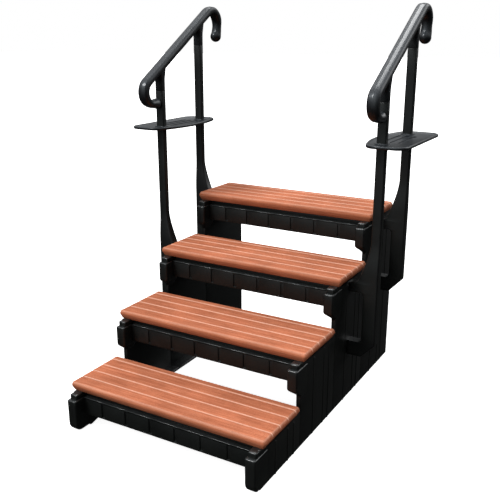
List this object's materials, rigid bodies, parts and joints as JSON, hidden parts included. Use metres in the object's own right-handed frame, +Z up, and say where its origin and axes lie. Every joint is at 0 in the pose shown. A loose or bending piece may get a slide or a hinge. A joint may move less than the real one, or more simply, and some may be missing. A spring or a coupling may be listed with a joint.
{
  "type": "spa steps",
  "caption": "Free-standing spa steps: ribbed plank treads on black moulded side frames, with a sloping handrail and a tray on each side.",
  "frame": {"origin": "on the floor below the middle of the side frames", "axes": "+X to the climber's right when facing the steps, +Y from the lowest step to the highest, +Z up"},
  "size_m": [1.342, 1.379, 1.7028],
  "materials": {
    "redwood_plastic": "matte, ribbed and streaked like stained wood",
    "black_plastic": "fine moulded texture, matte",
    "black_satin_plastic": "smooth satin",
    "blackened_steel": "black oxide",
    "zinc_steel": "zinc plated"
  },
  "bodies": {
    "root": {"tread_1": "redwood_plastic", "front_rail_1": "black_plastic", "rear_rail_1": "black_plastic", "side_panel_right_1": "black_plastic", "side_panel_left_1": "black_plastic", "tread_2": "redwood_plastic", "front_rail_2": "black_plastic", "rear_rail_2": "black_plastic", "side_panel_right_2": "black_plastic", "side_panel_left_2": "black_plastic", "tread_3": "redwood_plastic", "front_rail_3": "black_plastic", "rear_rail_3": "black_plastic", "side_panel_right_3": "black_plastic", "side_panel_left_3": "black_plastic", "tread_4": "redwood_plastic", "front_rail_4": "black_plastic", "rear_rail_4": "black_plastic", "side_panel_right_4": "black_plastic", "side_panel_left_4": "black_plastic", "post_right_front": "black_plastic", "post_right_rear": "black_plastic", "handrail_right": "black_satin_plastic", "tray_right": "black_satin_plastic", "post_left_front": "black_plastic", "post_left_rear": "black_plastic", "handrail_left": "black_satin_plastic", "tray_left": "black_satin_plastic", "tray_clips": "blackened_steel", "tray_screws": "blackened_steel", "handrail_screws": "blackened_steel", "tread_screws": "zinc_steel", "rail_screws": "zinc_steel", "foot_bolts": "zinc_steel", "foot_washers": "zinc_steel", "foot_inserts": "zinc_steel", "frame_bolts": "zinc_steel", "frame_nuts": "zinc_steel"}
  },
  "joints": []
}
